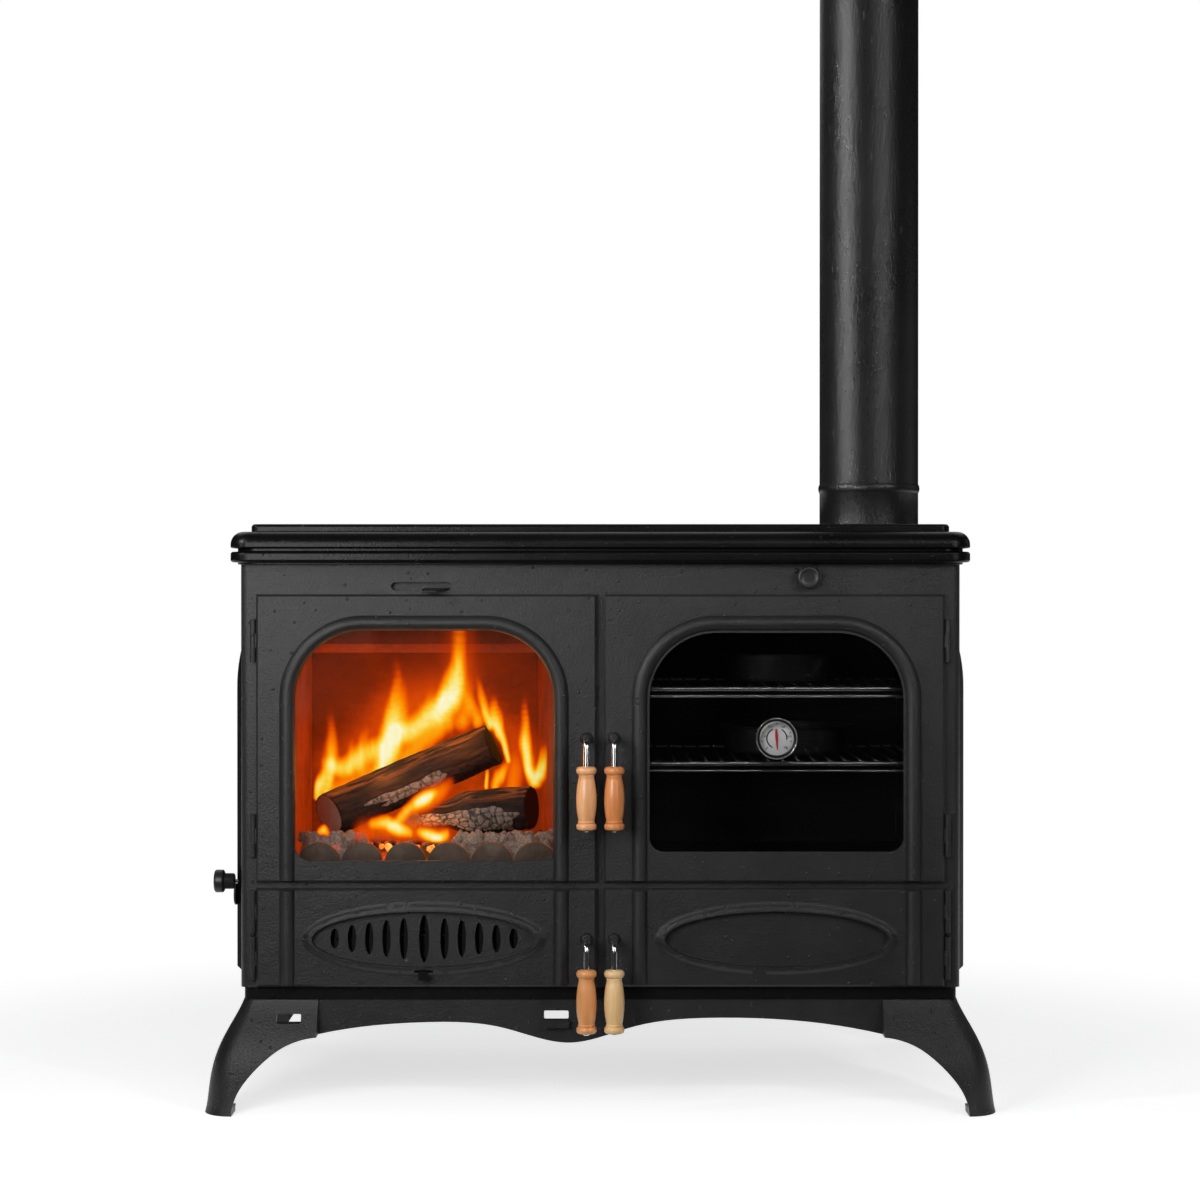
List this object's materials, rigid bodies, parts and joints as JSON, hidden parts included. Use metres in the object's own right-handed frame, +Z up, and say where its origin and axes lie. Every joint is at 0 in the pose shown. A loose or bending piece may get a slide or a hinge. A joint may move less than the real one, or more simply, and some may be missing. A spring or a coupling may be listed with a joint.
{
  "type": "cast iron cookstove",
  "caption": "Freestanding wood-burning cookstove: glazed fire and oven doors, ash and storage doors, splayed legs, hob plate and flue pipe.",
  "frame": {"origin": "on the floor, in the middle of the stove's outline", "axes": "+Z up, -Y towards the user in front, +X to the right of someone who faces the stove"},
  "size_m": [1.108, 0.6072, 1.829],
  "materials": {
    "cast_iron": "black stove paint over sand casting",
    "flue_steel": "matt black heat paint",
    "glass": "clear ceramic glass",
    "rope": "woven glass rope",
    "steel": "sheet steel",
    "dark_steel": "blackened steel",
    "bright_steel": "bright plated",
    "enamel": "black enamel",
    "dial": "satin silver",
    "needle_red": "red lacquer",
    "firebrick": "sooty vermiculite",
    "fence_ceramic": "brown ceramic",
    "wood_peach": "oiled",
    "wood_orange": "oiled",
    "wood_brown": "oiled",
    "wood_pale": "oiled"
  },
  "bodies": {
    "stove": {"front_frame": "cast_iron", "back_panel": "cast_iron", "left_side": "cast_iron", "right_side": "cast_iron", "base_plate": "cast_iron", "leg_front_left": "cast_iron", "leg_front_right": "cast_iron", "leg_rear_left": "cast_iron", "leg_rear_right": "cast_iron", "front_apron": "cast_iron", "top_frame": "cast_iron", "cooktop_frame": "cast_iron", "hob_plate": "cast_iron", "flue_collar": "cast_iron", "flue_pipe": "flue_steel", "hinge_leaves": "cast_iron", "shaker_plate": "cast_iron", "deck_plate": "cast_iron", "fire_back_liner": "firebrick", "fire_side_liners": "firebrick", "baffle_plate": "firebrick", "fire_fence": "fence_ceramic", "ash_pan": "steel", "oven_box": "enamel", "lower_oven_rack": "bright_steel", "upper_oven_rack": "bright_steel", "storage_box": "steel"},
    "fire_door": {"fire_door": "cast_iron", "fire_door_glass": "glass", "fire_door_seal": "rope", "fire_door_clips": "steel"},
    "oven_door": {"oven_door": "cast_iron", "oven_door_glass": "glass", "oven_door_seal": "rope", "oven_door_clips": "steel", "thermometer_case": "bright_steel", "thermometer_dial": "dial", "thermometer_lens": "glass"},
    "ash_door": {"ash_door": "cast_iron", "ash_door_seal": "rope"},
    "store_door": {"store_door": "cast_iron", "store_door_seal": "rope"},
    "air_slide": {"air_slide": "cast_iron"},
    "airwash_slide": {"airwash_slide": "cast_iron"},
    "damper": {"damper_knob": "cast_iron", "damper_plate": "cast_iron"},
    "shaker": {"shaker_rod": "dark_steel", "shaker_knob": "cast_iron", "shaker_grate": "cast_iron"},
    "hob_lid": {"hob_lid": "cast_iron"},
    "needle": {"thermometer_needle": "needle_red"},
    "fire_latch": {"fire_latch": "bright_steel", "fire_grip": "wood_peach"},
    "oven_latch": {"oven_latch": "bright_steel", "oven_grip": "wood_orange"},
    "ash_latch": {"ash_latch": "bright_steel", "ash_grip": "wood_brown"},
    "store_latch": {"store_latch": "bright_steel", "store_grip": "wood_pale"}
  },
  "joints": [
    {"name": "fire_door_hinge", "type": "hinge", "parent": "stove", "child": "fire_door", "pos_m": [-0.4872, -0.2394, 0.52225], "axis": [0, 0, -1], "range_deg": [0, 110]},
    {"name": "oven_door_hinge", "type": "hinge", "parent": "stove", "child": "oven_door", "pos_m": [0.4872, -0.2394, 0.52225], "axis": [0, 0, 1], "range_deg": [0, 110]},
    {"name": "ash_door_hinge", "type": "hinge", "parent": "stove", "child": "ash_door", "pos_m": [-0.4872, -0.2394, 0.241], "axis": [0, 0, -1], "range_deg": [0, 110]},
    {"name": "store_door_hinge", "type": "hinge", "parent": "stove", "child": "store_door", "pos_m": [0.4872, -0.2394, 0.241], "axis": [0, 0, 1], "range_deg": [0, 110]},
    {"name": "fire_latch_turn", "type": "hinge", "parent": "fire_door", "child": "fire_latch", "pos_m": [-0.0193, -0.2344, 0.52225], "axis": [0, 1, 0], "range_deg": [0, 90]},
    {"name": "oven_latch_turn", "type": "hinge", "parent": "oven_door", "child": "oven_latch", "pos_m": [0.0193, -0.2344, 0.52225], "axis": [0, -1, 0], "range_deg": [0, 90]},
    {"name": "ash_latch_turn", "type": "hinge", "parent": "ash_door", "child": "ash_latch", "pos_m": [-0.0193, -0.2344, 0.241], "axis": [0, 1, 0], "range_deg": [0, 90]},
    {"name": "store_latch_turn", "type": "hinge", "parent": "store_door", "child": "store_latch", "pos_m": [0.0193, -0.2344, 0.241], "axis": [0, -1, 0], "range_deg": [0, 90]},
    {"name": "air_slide", "type": "slide", "parent": "ash_door", "child": "air_slide", "axis": [1, 0, 0], "range_m": [-0.006, 0.006]},
    {"name": "airwash_slide", "type": "slide", "parent": "stove", "child": "airwash_slide", "axis": [-1, 0, 0], "range_m": [0, 0.038]},
    {"name": "shaker_pull", "type": "slide", "parent": "stove", "child": "shaker", "axis": [-1, 0, 0], "range_m": [0, 0.03]},
    {"name": "hob_lid_lift", "type": "slide", "parent": "stove", "child": "hob_lid", "axis": [0, 0, 1], "range_m": [0, 0.08]},
    {"name": "damper_turn", "type": "hinge", "parent": "stove", "child": "damper", "pos_m": [0.292, 0, 0.7475], "axis": [0, 1, 0], "range_deg": [0, 90]},
    {"name": "needle_turn", "type": "hinge", "parent": "oven_door", "child": "needle", "pos_m": [0.247, -0.2364, 0.52225], "axis": [0, -1, 0], "range_deg": [-120, 120], "stiffness_Nm_per_rad": 0.002}
  ]
}
